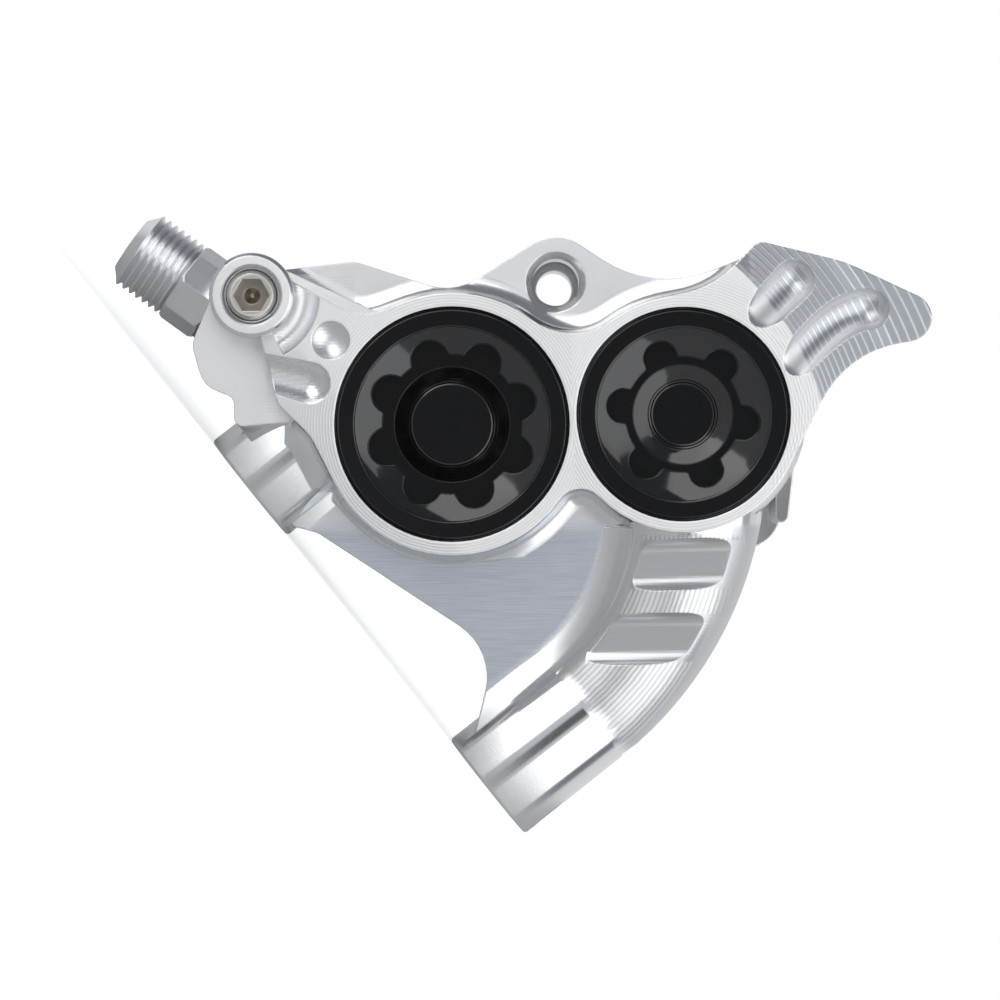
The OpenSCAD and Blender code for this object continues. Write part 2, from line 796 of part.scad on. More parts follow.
module body_cuts() {
    countersink = 0.6;
    bolt_countersink = 0.4;
    sketch() {
        outer_cylinder(large, large_piston_d, large_cap_d);
        outer_cylinder(small, small_piston_d, small_cap_d);
        inner_cylinder(large, large_piston_d);
        inner_cylinder(small, small_piston_d);
        fin_cut();
        fin_slot(short_slot);
        fin_slot(long_slot);
        wing_dimples();
        boss_groove();
        arm_groove(small[1] - 13.25, -2);
        arm_groove(small[1] - 19.8, -1);
        bar(pin, pin_bore_d / 2, face_y, disc_offset);
        bar(pin, pin_thread_d / 2, disc_offset, back_y + clear);
        turned(pin, [
            [0, floor_y - clear],
            [pin_bore_d / 2 + countersink + clear, floor_y - clear],
            [pin_bore_d / 2, floor_y + countersink],
            [0, floor_y + countersink]
        ]);
        bar(bleed, bleed_mouth_r, boss_face_y - clear, boss_face_y + bleed_mouth);
        bar(bleed, bleed_screw_d / 2 + piston_clearance, boss_face_y, bleed_foot_y);
    }
    for (x = [-post_x, post_x])
        translate([x, 0, 0])
            rotate_extrude()
                polygon([
                    [0, -clear],
                    [bolt_hole_d / 2 + bolt_countersink + clear, -clear],
                    [bolt_hole_d / 2, bolt_countersink],
                    [bolt_hole_d / 2, bolt_hole_depth],
                    [0, bolt_hole_depth]
                ]);
    on_hose_axis() {
        translate([0, 0, -hose_spigot_length - hose_hole_room])
            cylinder(r = hose_spigot_d / 2 + cap_clearance, h = hose_spigot_length + hose_hole_room + clear);
        cylinder(r = hose_corner_r + spot_face_gap, h = 2 * bleed_boss_d);
    }
}

// One-piece body, milled from aluminium billet and polished
module caliper_body() {
    color(silver)
        difference() {
            body_solid();
            body_cuts();
        }
}

// How far a round lobe reaches from the cap's middle, at an angle away from the lobe's own direction
function lobe_reach(ring_r, lobe_r, away) =
    abs(ring_r * sin(away)) < lobe_r
        ? ring_r * cos(away) + sqrt(pow(lobe_r, 2) - pow(ring_r * sin(away), 2))
        : 0;

// Outline of a cap's star: a circle with evenly spaced round lobes
function star_outline(place, star_r, lobes, lobe_r, lobe_ring_r, first_lobe) =
    let (lobe_points = 24, pitch = 360 / lobes)
    [
        for (k = [0:lobes - 1])
            for (i = [0:lobe_points - 1])
                let (
                    away = pitch * (i / lobe_points - 0.5),
                    a = first_lobe + pitch * k + away,
                    reach = max(star_r, lobe_reach(lobe_ring_r, lobe_r, away))
                )
                place + reach * [cos(a), sin(a)]
    ];

// Screwed bore cap: a black disc whose dished face slopes to a sunk star for its tool, with a rebate for
// its ring; centre is the turned profile inside the star
cap_ring_rebate = 0.08;
dish_y = cap_face_y + cap_dish;
star_y = dish_y + lobe_depth;
star_foot = 0.1;
module bore_cap(place, d, centre, star_r, lobes, lobe_r, lobe_ring_r, first_lobe) {
    r = d / 2;
    edge = 0.3;
    lip = 0.15;
    rebate = cap_ring_d + cap_ring_rebate;
    middle_r = centre[len(centre) - 1][0];
    middle_overlap = 0.05;
    dish_slope = (cap_dish - lip) / (r - cap_band - star_r);
    color(black)
        sketch()
            difference() {
                turned(place, concat(centre, [
                    [middle_r, dish_y + dish_slope * (star_r - middle_r)],
                    [r - cap_band, cap_face_y + lip],
                    [r - cap_band + lip, cap_face_y],
                    [r - edge, cap_face_y],
                    [r, cap_face_y + edge],
                    [r, cap_seat_y - rebate],
                    [r - rebate, cap_seat_y - rebate],
                    [r - rebate, cap_seat_y],
                    [0, cap_seat_y]
                ]));
                difference() {
                    plate(star_outline(place, star_r, lobes, lobe_r, lobe_ring_r, first_lobe),
                        cap_face_y - clear, star_y);
                    bar(place, middle_r - middle_overlap, cap_face_y - 2 * clear, star_y + clear);
                }
            }
}

// The large cap keeps a raised plain button in the middle
module bore_cap_large() {
    button_r = 3.67;
    flank_r = 5.1;
    star_r = 6.2;
    lobes = 8;
    lobe_r = 1.75;
    lobe_ring_r = 6.05;
    first_lobe = 19;
    button_sink = 0.25;
    button_y = cap_face_y + button_sink;
    soft = 0.15;
    bore_cap(large, large_cap_d, [
        [0, button_y],
        [button_r - soft, button_y],
        [button_r, button_y + soft],
        [flank_r, star_y + star_foot]
    ], star_r, lobes, lobe_r, lobe_ring_r, first_lobe);
}

// The small cap has a turned pocket in the middle
module bore_cap_small() {
    pocket_r = 4.4;
    bowl_r = 3.2;
    star_r = 5.15;
    lobes = 6;
    lobe_r = 1.6;
    lobe_ring_r = 5.3;
    first_lobe = 52;
    bowl_floor_r = 2.7;
    left_under_star = cap_seat_y - star_y;
    step = 0.23 * left_under_star;
    bowl = 0.41 * left_under_star;
    bore_cap(small, small_cap_d, [
        [0, star_y + bowl],
        [bowl_floor_r, star_y + bowl],
        [bowl_r, star_y + step],
        [pocket_r, star_y + star_foot]
    ], star_r, lobes, lobe_r, lobe_ring_r, first_lobe);
}

// Sealing ring in the rebate under a cap
module cap_ring(place, d) {
    section_r = cap_ring_d / 2;
    color(rubber)
        sketch()
            translate([place[0], cap_seat_y - section_r - cap_ring_rebate / 2, place[1]])
                rotate([90, 0, 0])
                    rotate_extrude()
                        translate([d / 2 - section_r - cap_ring_rebate / 2, 0])
                            circle(section_r);
}

module bore_cap_ring_large() {
    cap_ring(large, large_cap_d);
}

module bore_cap_ring_small() {
    cap_ring(small, small_cap_d);
}

// Piston: a cup whose open end bears on the pad; into is the way it goes into its cylinder
module piston(place, d, front_y, into) {
    r = d / 2;
    edge = 0.3;
    color(steel)
        sketch()
            turned(place, [
                [0, front_y + into * piston_cup_depth],
                [r - piston_wall, front_y + into * piston_cup_depth],
                [r - piston_wall, front_y],
                [r - edge, front_y],
                [r, front_y + into * edge],
                [r, front_y + into * (piston_length - edge)],
                [r - edge, front_y + into * piston_length],
                [0, front_y + into * piston_length]
            ]);
}

outer_front_y = slot_front_y + piston_proud;
inner_front_y = slot_back_y - piston_proud;

module piston_outer_large() {
    piston(large, large_piston_d, outer_front_y, -1);
}

module piston_outer_small() {
    piston(small, small_piston_d, outer_front_y, -1);
}

module piston_inner_large() {
    piston(large, large_piston_d, inner_front_y, 1);
}

module piston_inner_small() {
    piston(small, small_piston_d, inner_front_y, 1);
}

// Square-section ring in a cylinder's groove
module groove_ring(place, piston_d, slot_y, into, from, width, depth) {
    inside = piston_d / 2 + seal_clearance;
    outside = piston_d / 2 + depth - seal_clearance;
    near = slot_y + into * (from + seal_clearance);
    far = slot_y + into * (from + width - seal_clearance);
    color(rubber)
        sketch()
            turned(place, [[inside, near], [outside, near], [outside, far], [inside, far]]);
}

module piston_seal(place, piston_d, slot_y, into) {
    groove_ring(place, piston_d, slot_y, into, seal_place, seal_width, seal_depth);
}

module dust_seal(place, piston_d, slot_y, into) {
    groove_ring(place, piston_d, slot_y, into, dust_place, dust_width, dust_depth);
}

module piston_seal_outer_large() {
    piston_seal(large, large_piston_d, slot_front_y, -1);
}

module piston_seal_outer_small() {
    piston_seal(small, small_piston_d, slot_front_y, -1);
}

module piston_seal_inner_large() {
    piston_seal(large, large_piston_d, slot_back_y, 1);
}

module piston_seal_inner_small() {
    piston_seal(small, small_piston_d, slot_back_y, 1);
}

module dust_seal_outer_large() {
    dust_seal(large, large_piston_d, slot_front_y, -1);
}

module dust_seal_outer_small() {
    dust_seal(small, small_piston_d, slot_front_y, -1);
}

module dust_seal_inner_large() {
    dust_seal(large, large_piston_d, slot_back_y, 1);
}

module dust_seal_inner_small() {
    dust_seal(small, small_piston_d, slot_back_y, 1);
}

// Pads: sectors of a ring about the disc's centre, between the two stops
lining_inner_r = track_outer_r - lining_height;
pad_left = pocket_left + pad_end_gap;
pad_right = pocket_right - pad_end_gap;
pad_shoulder = small[1] - 6;
pad_taper = 0.62;
module sector(r0, r1, left, right, y0, y1) {
    top = disc_centre[1] + r1 + clear;
    foot = disc_centre[1] + r0 / 2;
    inset = pad_taper * (pad_shoulder - foot);
    intersection() {
        turned(disc_centre, [[r0, y0], [r1, y0], [r1, y1], [r0, y1]]);
        plate([
            [left + inset, foot],
            [right - inset, foot],
            [right, pad_shoulder],
            [right, top],
            [left, top],
            [left, pad_shoulder]
        ], y0 - clear, y1 + clear);
    }
}

// Steel backplate with an eye for the pad pin
module backplate(y0, y1) {
    eye_r = 3.4;
    shoulder = 5;
    eye_clearance = 0.3;
    root_sink = 2.5;
    root_r = 1;
    root = rim[1] - root_sink;
    color(steel)
        sketch()
            difference() {
                union() {
                    sector(lining_inner_r - plate_margin, pad_top_r, pad_left, pad_right, y0, y1);
                    plate(belt([
                        circle_at([pin[0] - shoulder, root], root_r),
                        circle_at([pin[0] + shoulder, root], root_r),
                        circle_at(pin, eye_r)
                    ]), y0, y1);
                }
                bar(pin, pin_bore_d / 2 + eye_clearance, y0 - clear, y1 + clear);
            }
}

module lining(y0, y1) {
    color([0.3, 0.27, 0.24])
        sketch()
            sector(lining_inner_r, track_outer_r, pad_left + plate_end_margin, pad_right - plate_end_margin,
                y0, y1);
}

outer_lining_y = outer_front_y + backplate_thickness;
inner_lining_y = inner_front_y - backplate_thickness;

module pad_backplate_outer() {
    backplate(outer_front_y, outer_lining_y);
}

module pad_backplate_inner() {
    backplate(inner_lining_y, inner_front_y);
}

module pad_lining_outer() {
    lining(outer_lining_y, outer_lining_y + lining_thickness);
}

module pad_lining_inner() {
    lining(inner_lining_y - lining_thickness, inner_lining_y);
}

// Leaf spring over the disc's edge, with four legs that hold the pads apart
module pad_spring() {
    ease = 0.05;
    leg_width = 1.5;
    leg_reach = 3;
    leg_inset = 0.4;
    over_pads = 1;
    window = 9;
    window_pitch = 17.1;
    window_offset = 24;
    leg_foot = small[1] - leg_reach;
    roof_r = pad_top_r + over_pads;
    window_left = small[0] - window_offset;
    y0 = outer_lining_y + ease;
    y1 = inner_lining_y - ease;
    leg_left = pad_left + leg_inset;
    leg_right = pad_right - leg_inset - leg_width;
    color(steel)
        sketch() {
            difference() {
                sector(roof_r, roof_r + spring_strip, leg_left, leg_right + leg_width, y0, y1);
                for (x = [window_left, window_left + window_pitch])
                    translate([x, y0 + leg_width, 0])
                        cube([window, y1 - y0 - 2 * leg_width, 2 * roof_r]);
            }
            for (x = [leg_left, leg_right], y = [y0, y1 - spring_strip])
                intersection() {
                    translate([x, y, leg_foot])
                        cube([leg_width, spring_strip, roof_r]);
                    turned(disc_centre, [
                        [lining_inner_r, y - clear],
                        [roof_r + spring_strip, y - clear],
                        [roof_r + spring_strip, y + clear],
                        [lining_inner_r, y + clear]
                    ]);
                }
        }
}

// Straight hose connector: spigot, octagon, and the outside thread for the hose nut with a tapered tip
module hose_connector() {
    bore_r = 1.1;
    mouth_r = 2;
    mouth = 2.2;
    mouth_rim = 0.4;
    groove = 0.42;
    neck = 0.05;
    tip = 0.65;
    tip_r = 2.55;
    flats_z = hose_washer;
    thread_z = flats_z + hose_flats_length + neck;
    end_z = thread_z + hose_thread_crests * hose_thread_pitch + tip;
    r = hose_thread_d / 2;
    color(silver)
        on_hose_axis()
            difference() {
                union() {
                    rotate_extrude()
                        polygon(concat(
                            [
                                [0, -hose_spigot_length],
                                [hose_spigot_d / 2 - 0.3, -hose_spigot_length],
                                [hose_spigot_d / 2, -hose_spigot_length + 0.3],
                                [hose_spigot_d / 2, flats_z + 1],
                                [r - groove, flats_z + 1],
                                [r - groove, thread_z]
                            ],
                            [for (i = [0:hose_thread_crests - 1])
                                let (z = thread_z + i * hose_thread_pitch)
                                each [
                                    [r, z + 0.42 * hose_thread_pitch],
                                    [r, z + 0.58 * hose_thread_pitch],
                                    [r - groove, z + hose_thread_pitch]
                                ]],
                            [
                                [tip_r, end_z],
                                [0, end_z]
                            ]
                        ));
                    intersection() {
                        translate([0, 0, flats_z])
                            cylinder(r = hose_corner_r, h = hose_flats_length, $fn = hose_sides);
                        rotate_extrude()
                            polygon([
                                [0, flats_z],
                                [hose_flats / 2 + 0.1, flats_z],
                                [hose_corner_r, flats_z + 0.35],
                                [hose_corner_r, flats_z + hose_flats_length - 0.35],
                                [hose_flats / 2 + 0.1, flats_z + hose_flats_length],
                                [0, flats_z + hose_flats_length]
                            ]);
                    }
                }
                translate([0, 0, -hose_spigot_length - clear])
                    cylinder(r = bore_r, h = hose_spigot_length + end_z + 2 * clear);
                rotate_extrude()
                    polygon([
                        [0, end_z - mouth],
                        [bore_r, end_z - mouth],
                        [mouth_r, end_z - mouth_rim],
                        [mouth_r, end_z + clear],
                        [0, end_z + clear]
                    ]);
            }
}

// Soft washer between the connector's octagon and the body
module hose_connector_washer() {
    color([0.55, 0.4, 0.3])
        on_hose_axis()
            rotate_extrude()
                polygon([
                    [hose_spigot_d / 2 + cap_clearance, 0],
                    [hose_flats / 2, 0],
                    [hose_flats / 2, hose_washer],
                    [hose_spigot_d / 2 + cap_clearance, hose_washer]
                ]);
}

// Bleed screw with a hexagon socket, turning in its boss
module bleed_screw() {
    r = bleed_screw_d / 2;
    edge = 0.3;
    socket_depth = 2.4;
    socket_r = bleed_socket / 2 / cos(30);
    countersink = 0.2;
    drill_r = 0.75;
    drill_point = 0.5;
    color(steel)
        sketch()
            difference() {
                turned(bleed, [
                    [0, bleed_head_y],
                    [r - edge, bleed_head_y],
                    [r, bleed_head_y + edge],
                    [r, bleed_tip_y - edge],
                    [r - edge, bleed_tip_y],
                    [0, bleed_tip_y]
                ]);
                translate([bleed[0], bleed_head_y + socket_depth, bleed[1]])
                    rotate([90, 0, 0])
                        cylinder(r = socket_r, h = socket_depth + clear, $fn = 6);
                turned(bleed, [
                    [0, bleed_head_y - clear],
                    [socket_r + countersink, bleed_head_y - clear],
                    [socket_r - clear, bleed_head_y + 2 * countersink],
                    [drill_r, bleed_head_y + 2 * countersink],
                    [drill_r, bleed_head_y + socket_depth],
                    [0, bleed_head_y + socket_depth + drill_point]
                ]);
            }
}

// Sealing ring under the bleed screw's tip
module bleed_screw_ring() {
    r = bleed_screw_d / 2 - seal_clearance;
    color(rubber)
        sketch()
            turned(bleed, [
                [r / 2, bleed_tip_y],
                [r, bleed_tip_y],
                [r, bleed_foot_y],
                [r / 2, bleed_foot_y]
            ]);
}

caliper_body();
bore_cap_large();
bore_cap_small();
bore_cap_ring_large();
bore_cap_ring_small();
piston_outer_large();
piston_outer_small();
piston_inner_large();
piston_inner_small();
piston_seal_outer_large();
piston_seal_outer_small();
piston_seal_inner_large();
piston_seal_inner_small();
dust_seal_outer_large();
dust_seal_outer_small();
dust_seal_inner_large();
dust_seal_inner_small();
pad_backplate_outer();
pad_lining_outer();
pad_backplate_inner();
pad_lining_inner();
pad_spring();
hose_connector();
hose_connector_washer();
bleed_screw();
bleed_screw_ring();
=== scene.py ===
import math

import bmesh
import bpy
from mathutils import Matrix, Vector


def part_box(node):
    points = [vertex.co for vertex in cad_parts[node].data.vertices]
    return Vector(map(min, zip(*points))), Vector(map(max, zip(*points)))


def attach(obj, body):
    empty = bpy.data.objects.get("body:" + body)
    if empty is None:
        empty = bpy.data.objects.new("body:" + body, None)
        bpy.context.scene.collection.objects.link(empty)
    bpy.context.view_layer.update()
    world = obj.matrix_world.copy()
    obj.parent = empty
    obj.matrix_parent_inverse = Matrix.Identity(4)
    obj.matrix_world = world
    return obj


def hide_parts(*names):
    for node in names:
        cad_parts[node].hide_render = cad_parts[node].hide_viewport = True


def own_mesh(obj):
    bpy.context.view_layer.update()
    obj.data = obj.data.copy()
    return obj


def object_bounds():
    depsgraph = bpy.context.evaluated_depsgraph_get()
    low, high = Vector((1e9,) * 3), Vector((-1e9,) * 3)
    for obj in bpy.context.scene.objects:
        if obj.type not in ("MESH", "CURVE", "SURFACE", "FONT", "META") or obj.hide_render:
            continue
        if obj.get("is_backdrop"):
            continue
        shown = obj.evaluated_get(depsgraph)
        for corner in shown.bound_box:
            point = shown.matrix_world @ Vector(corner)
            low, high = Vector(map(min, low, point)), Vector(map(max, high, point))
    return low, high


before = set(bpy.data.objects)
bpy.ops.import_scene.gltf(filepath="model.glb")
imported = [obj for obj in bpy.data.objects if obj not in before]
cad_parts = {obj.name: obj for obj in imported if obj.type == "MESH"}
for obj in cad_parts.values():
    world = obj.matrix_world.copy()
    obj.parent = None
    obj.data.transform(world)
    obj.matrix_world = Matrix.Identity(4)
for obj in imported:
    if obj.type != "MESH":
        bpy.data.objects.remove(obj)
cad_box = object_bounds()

# Caliper body: one block of aluminium alloy, milled on every side and polished, with the
# cylinders bored from the outside. It carries every other piece and stands on two posts
# that are screwed to the frame.
MM = 0.001
LEAN = math.radians(51.43)
WELD = 0.0005 * MM
SHARP = math.radians(32)


class Wire:
    """An output of a shader or geometry tree. Arithmetic on wires adds Math nodes."""

    def __init__(self, tree, socket=None):
        self.tree = tree
        self.socket = socket

    def node(self, kind, settings, inputs, output=0):
        """Adds any other node: its settings first, then its inputs by name or number."""
        made = self.tree.nodes.new(kind)
        for name, value in settings.items():
            setattr(made, name, value)
        for key, value in inputs.items():
            if isinstance(value, Wire):
                self.tree.links.new(value.socket, made.inputs[key])
            else:
                made.inputs[key].default_value = value
        return Wire(self.tree, None if output is None else made.outputs[output])

    def math(self, operation, *others):
        terms = dict(enumerate((self,) + others))
        return self.node("ShaderNodeMath", {"operation": operation}, terms)

    def __add__(self, other):
        return self.math("ADD", other)

    def __sub__(self, other):
        return self.math("SUBTRACT", other)

    def __mul__(self, other):
        return self.math("MULTIPLY", other)

    def __truediv__(self, other):
        return self.math("DIVIDE", other)

    def __pow__(self, other):
        return self.math("POWER", other)

    def __neg__(self):
        return self * -1.0

    def __rsub__(self, other):
        return -self + other

    __radd__ = __add__
    __rmul__ = __mul__

    def step(self, low, high):
        """0 below low, 1 above high, smooth between; low may be the greater."""
        settings = {"interpolation_type": "SMOOTHSTEP"}
        return self.node("ShaderNodeMapRange", settings, {0: self, 1: low, 2: high})

    def within(self, middle, half, soft):
        """1 where the value is within half of middle."""
        return (self - middle).math("ABSOLUTE").step(half + soft, half)

    def blend(self, first, second):
        """This wire as the factor between two colours."""
        settings = {"data_type": "RGBA"}
        return self.node("ShaderNodeMix", settings, {0: self, 6: first, 7: second}, 2)

    def noise(self, vector, scale, detail=2.0):
        inputs = {"Vector": vector, "Scale": scale, "Detail": detail}
        return self.node("ShaderNodeTexNoise", {}, inputs)

    def vector(self, x, y, z):
        return self.node("ShaderNodeCombineXYZ", {}, {0: x, 1: y, 2: z})

    def split(self):
        """The x, y and z of a vector."""
        return [self.node("ShaderNodeSeparateXYZ", {}, {0: self}, axis) for axis in range(3)]


class Finish:
    """A material being made: places on the surface, in millimetres, and how far it faces -Y."""

    def __init__(self, name):
        self.material = bpy.data.materials.new(name)
        self.material.use_nodes = True
        tree = self.material.node_tree
        self.shader = tree.nodes["Principled BSDF"]
        self.wire = Wire(tree)
        place = self.wire.node("ShaderNodeTexCoord", {}, {}, "Object")
        in_mm = {0: place, "Scale": 1.0 / MM}
        self.place = self.wire.node("ShaderNodeVectorMath", {"operation": "SCALE"}, in_mm)
        self.x, self.y, self.z = self.place.split()
        normal = self.wire.node("ShaderNodeNewGeometry", {}, {}, "True Normal")
        self.facing = -self.wire.node("ShaderNodeSeparateXYZ", {}, {0: normal}, 1)

    def noise(self, scale, detail):
        return self.wire.noise(self.place, scale, detail)

    def streaks(self, x, y, z, detail):
        """Noise drawn out into streaks by three wires that are scaled unequally."""
        return self.wire.noise(self.wire.vector(x, y, z), 1.0, detail)

    def around_y(self, centre):
        """Distance from a line along Y through centre, an x and z in millimetres."""
        return ((self.x - centre[0]) ** 2.0 + (self.z - centre[1]) ** 2.0) ** 0.5

    def lines(self, distance, pitch, uneven=0.35):
        """Tool marks: waves of that pitch, made a little uneven, from -1 to 1."""
        drift = self.wire.noise(self.place, 0.9) * uneven
        return ((distance / pitch + drift) * (2.0 * math.pi)).math("SINE")

    def done(self, color, roughness, metallic=1.0, height=None, depth=0.02, edge=0.12, **constants):
        """Joins the looks to the shader. Depth scales the height, edge rounds corners, both in mm."""
        tree = self.material.node_tree
        for key, value in (("Base Color", color), ("Roughness", roughness), ("Metallic", metallic)):
            if isinstance(value, Wire):
                tree.links.new(value.socket, self.shader.inputs[key])
            else:
                self.shader.inputs[key].default_value = value
        for key, value in constants.items():
            self.shader.inputs[key].default_value = value
        normal = self.wire.node("ShaderNodeBevel", {"samples": 6}, {"Radius": edge * MM})
        if height is not None:
            inputs = {"Strength": 1.0, "Distance": depth * MM, "Height": height, "Normal": normal}
            normal = self.wire.node("ShaderNodeBump", {}, inputs)
        tree.links.new(normal.socket, self.shader.inputs["Normal"])
        return self.material


def welded_shading():
    """A modifier group that joins the CAD faces' edges and smooths all but sharp corners."""
    group = bpy.data.node_groups.new("welded_shading", "GeometryNodeTree")
    group.interface.new_socket("Geometry", in_out="INPUT", socket_type="NodeSocketGeometry")
    group.interface.new_socket("Geometry", in_out="OUTPUT", socket_type="NodeSocketGeometry")
    wire = Wire(group)
    shape = wire.node("NodeGroupInput", {}, {})
    shape = wire.node("GeometryNodeMergeByDistance", {}, {"Geometry": shape, "Distance": WELD})
    inputs = {"Geometry": shape, "Shade Smooth": True}
    shape = wire.node("GeometryNodeSetShadeSmooth", {"domain": "FACE"}, inputs)
    angle = wire.node("GeometryNodeInputMeshEdgeAngle", {}, {})
    sharp = wire.node("FunctionNodeCompare", {"operation": "GREATER_THAN"}, {0: angle, 1: SHARP})
    inputs = {"Geometry": shape, "Selection": sharp, "Shade Smooth": False}
    shape = wire.node("GeometryNodeSetShadeSmooth", {"domain": "EDGE"}, inputs)
    wire.node("NodeGroupOutput", {}, {0: shape}, None)
    return group


SHADING = welded_shading()


def drop_stored_normals(mesh):
    if "custom_normal" in mesh.attributes:
        mesh.attributes.remove(mesh.attributes["custom_normal"])


def finish_node(name, material):
    """Gives a CAD node its material and smooth shading; its shape stays as it is."""
    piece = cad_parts[name]
    drop_stored_normals(piece.data)
    piece.data.materials.clear()
    piece.data.materials.append(material)
    piece.modifiers.new("welded_shading", "NODES").node_group = SHADING
    weighted = piece.modifiers.new("weighted_normal", "WEIGHTED_NORMAL")
    weighted.keep_sharp = True


def axis_of(name):
    """Where the middle of a CAD node's box is, as x and z in millimetres."""
    low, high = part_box(name)
    return [(low[axis] + high[axis]) / 2 / MM for axis in (0, 2)]


def radius(name):
    """Half a CAD node's width along X, in millimetres."""
    low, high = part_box(name)
    return (high[0] - low[0]) / 2 / MM


LARGE = axis_of("bore_cap_large")
SMALL = axis_of("bore_cap_small")


def leaned(x, z):
    """Turns an x and z, wires or numbers, to the photo's own right and up."""
    right = x * math.cos(LEAN) + z * math.sin(LEAN)
    up = z * math.cos(LEAN) - x * math.sin(LEAN)
    return right, up


def bore_gap(made):
    """Distance from the edge of the nearer bore cap."""
    to_large = made.around_y(LARGE) - radius("bore_cap_large")
    to_small = made.around_y(SMALL) - radius("bore_cap_small")
    return to_large.math("MINIMUM", to_small)


def flat_cuts(made, v):
    """The level faces of the milled front, each at its own depth, and the two posts."""
    boss_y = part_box("caliper_body")[0][1] / MM
    face_y = boss_y + 1.4
    wing_y = boss_y + 3.6
    web_y = boss_y + 6.8
    web_top = 11.0
    post_top = 11.8
    near = 0.12
    soft = 0.08
    level = made.facing.step(0.985, 0.997)
    depths = (face_y, wing_y, boss_y, web_y)
    face, wing, boss, floor = [level * made.y.within(depth, near, soft) for depth in depths]
    post = made.z.step(post_top, post_top - 1.0)
    wing = wing * (1.0 - post * made.x.step(0.0, 2.0))
    web = floor * v.step(web_top, web_top - 2.0)
    return face, wing, boss, floor, web, post


def arm_cuts(made, v):
    """The curved arm's crown, its two milled grooves, its outer edge and its tool marks."""
    post_x = 17.0
    post_length = 11.0
    bend_r = 22.5
    crown_r = 24.0
    crown_half = 4.6
    crown_left = -3.0
    crown_top = 9.3
    crown_back = -2.0
    groove_v = (6.58, 0.03)
    groove_half = 2.1
    rim_r = 26.8
    rim_left = 8.0
    rim_top = 10.4
    rim_back = 8.0
    mark_pitch = 0.40
    distance = made.around_y((post_x - bend_r, post_length))
    past_post = made.z.step(post_length, post_length + 1.5)
    arm = made.facing.step(0.35, 0.6) * past_post * distance.within(crown_r, crown_half, 0.4)
    arm = arm * made.x.step(crown_left, crown_left + 2.0) * v.step(crown_top, crown_top - 0.5)
    arm = arm * made.y.step(crown_back, crown_back - 1.0)
    groove = v.within(groove_v[0], groove_half, 0.1) + v.within(groove_v[1], groove_half, 0.1)
    rim = distance.step(rim_r, rim_r + 0.5) * past_post * v.step(rim_top, rim_top - 0.8)
    rim = rim * made.x.step(rim_left, rim_left + 2.0) * made.y.step(rim_back, rim_back - 2.0)
    return arm * (1.0 - groove), arm * groove, rim, made.lines(distance, mark_pitch)


def fin_cuts(made, u, v, face):
    """The fin, its terrace crests where highlights are painted, its two slots and the marks at its
    root.
    """
    centre_right = -11.77
    centre_up = -5.81
    inner_r = 25.0
    first_width = 0.406
    widening = 0.028
    root_r = 22.0
    root_half = 3.1
    root_pitch = 0.34
    fin_foot = 14.0
    fin_back = -0.5
    slot_y = -7.0
    small_u, small_v = leaned(*SMALL)
    fin_left = small_u + 5.5
    root_left = small_u + 7.0
    across = u - (small_u + centre_right)
    along = v - (small_v + centre_up)
    distance = (across ** 2.0 + along ** 2.0) ** 0.5
    by_fin = u.step(fin_left, fin_left + 1.0) * v.step(fin_foot, fin_foot + 1.5)
    fin = by_fin * made.facing.step(0.6, 0.9) * distance.step(inner_r - 0.15, inner_r)
    fin = fin * made.y.step(fin_back, fin_back - 0.5)
    width = (distance - inner_r) * (2.0 * widening) + first_width ** 2
    width = width.math("MAXIMUM", 0.0) ** 0.5
    terrace = ((width - first_width) / widening).math("FRACT")
    # Painted highlight: the crest of each terrace, which is painted as a light line.
    crest = fin * terrace.step(0.72, 0.9)
    slot = by_fin * (1.0 - fin) * made.y.step(slot_y, slot_y + 0.4) * made.facing.step(0.1, 0.3)
    root = face * distance.within(root_r, root_half, 0.1) * u.step(root_left, root_left + 1.0)
    return by_fin, fin, crest, slot, root * made.lines(distance, root_pitch, 0.1)


def pocket_cuts(made, u, v):
    """The two ball-nose pockets between the large cap and the hose connector."""
    centre_u = -5.1
    centre_v = 26.0
    half_u = 3.8
    half_v = 6.2
    top_y = -7.1
    pockets = u.within(centre_u, half_u, 0.2) * v.within(centre_v, half_v, 0.2)
    return pockets * made.y.step(top_y, top_y + 0.2)


